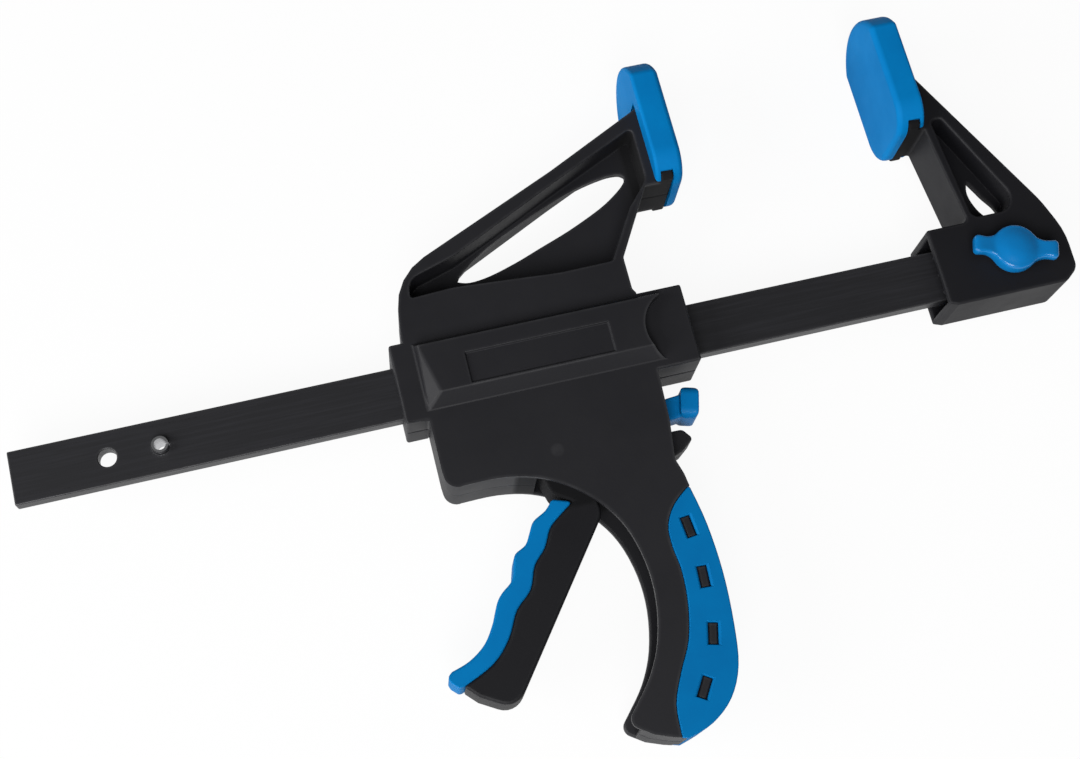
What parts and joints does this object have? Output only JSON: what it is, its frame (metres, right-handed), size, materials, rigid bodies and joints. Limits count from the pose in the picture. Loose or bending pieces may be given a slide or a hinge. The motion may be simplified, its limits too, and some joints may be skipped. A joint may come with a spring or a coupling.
{
  "type": "quick release bar clamp",
  "caption": "One-handed bar clamp: a trigger-driven head slides along a flat steel bar towards a fixed jaw, with soft blue pads, a thumb release and a wing knob on the jaw.",
  "frame": {"origin": "centre of the hole at the bar's tail end, in the middle of the bar's thickness", "axes": "+X along the bar towards the fixed jaw, +Y across the bar towards the pads, +Z through the thickness towards the wing knob's side; the clamp lies on its side"},
  "size_m": [0.3983, 0.2533, 0.0411],
  "materials": {
    "black_nylon": "fine spark-eroded texture, satin",
    "soft_blue": "soft moulded rubber, satin",
    "gloss_blue": "glossy moulded plastic",
    "black_steel": "black phosphated steel, satin",
    "zinc_steel": "zinc plated"
  },
  "bodies": {
    "bar": {"bar": "black_steel", "stop_pin": "zinc_steel", "fixed_jaw": "black_nylon", "fixed_pad": "soft_blue", "knob_washer": "zinc_steel", "jaw_nut": "zinc_steel"},
    "head": {"housing_front": "black_nylon", "housing_rear": "black_nylon", "housing_screws": "zinc_steel", "grip_insert": "soft_blue", "trigger_pin": "zinc_steel", "drive_spring": "zinc_steel", "brake_spring": "zinc_steel", "moving_pad": "soft_blue"},
    "trigger": {"trigger_lever": "black_nylon", "trigger_grip": "soft_blue"},
    "drive": {"drive_plate_1": "zinc_steel", "drive_plate_2": "zinc_steel"},
    "release": {"brake_plate": "zinc_steel", "release_button": "gloss_blue"},
    "knob": {"clamp_screw": "zinc_steel", "wing_knob": "gloss_blue"}
  },
  "joints": [
    {"name": "head_slide", "type": "slide", "parent": "bar", "child": "head", "axis": [1, 0, 0], "range_m": [-0.0828, 0.085]},
    {"name": "trigger_pull", "type": "hinge", "parent": "head", "child": "trigger", "pos_m": [0.1552, -0.036, 0], "axis": [0, 0, 1], "range_deg": [0, 22], "stiffness_Nm_per_rad": 0.4, "springref_deg": -11.46},
    {"name": "drive_push", "type": "slide", "parent": "head", "child": "drive", "axis": [1, 0, 0], "range_m": [-0.006, 0], "deforming": ["drive_spring"]},
    {"name": "release_press", "type": "hinge", "parent": "head", "child": "release", "pos_m": [0.1882, 0.0132, 0], "axis": [0, 0, 1], "range_deg": [-5, 0], "stiffness_Nm_per_rad": 0.5, "springref_deg": 11.46, "deforming": ["brake_spring"]},
    {"name": "knob_turn", "type": "hinge", "parent": "bar", "child": "knob", "pos_m": [0.341, 0, 0], "axis": [0, 0, 1], "continuous": true}
  ],
  "couplings": [
    {"joint": "drive_push", "follows": "trigger_pull", "m_per_rad": -0.015}
  ]
}
